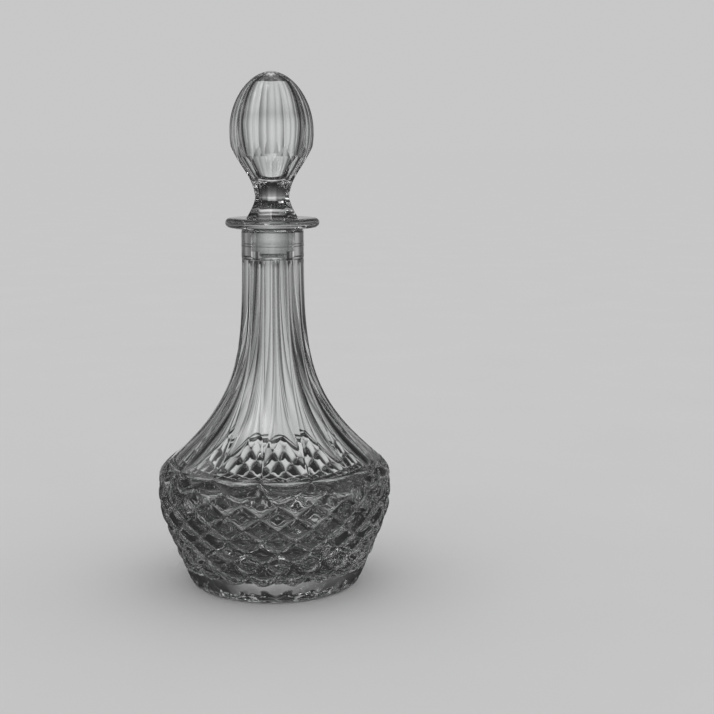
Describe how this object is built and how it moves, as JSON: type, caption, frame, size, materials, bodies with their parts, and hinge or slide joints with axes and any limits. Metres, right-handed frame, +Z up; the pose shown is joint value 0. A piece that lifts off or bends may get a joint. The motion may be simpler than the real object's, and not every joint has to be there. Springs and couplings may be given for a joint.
{
  "type": "stoppered decanter",
  "caption": "Round cut crystal decanter with a fluted neck and shoulder, diamond cut belly, faceted egg shaped glass stopper and soft seal cup.",
  "frame": {"origin": "centre of the base ring, on the surface that the decanter stands on", "axes": "+Z up the axis of the neck; -Y towards one rib of the shoulder"},
  "size_m": [0.142, 0.1423, 0.309],
  "materials": {
    "crystal": "fire polished clear lead crystal",
    "seal_plastic": "milky translucent polyethylene"
  },
  "bodies": {
    "decanter": {"decanter_body": "crystal"},
    "seal": {"stopper_seal": "seal_plastic"},
    "stopper": {"stopper": "crystal"}
  },
  "joints": [
    {"name": "stopper_lift", "type": "slide", "parent": "decanter", "child": "seal", "axis": [0, 0, 1], "range_m": [0, 0.06]},
    {"name": "stopper_turn", "type": "hinge", "parent": "seal", "child": "stopper", "pos_m": [0, 0, 0.2153], "axis": [0, 0, 1], "continuous": true}
  ]
}
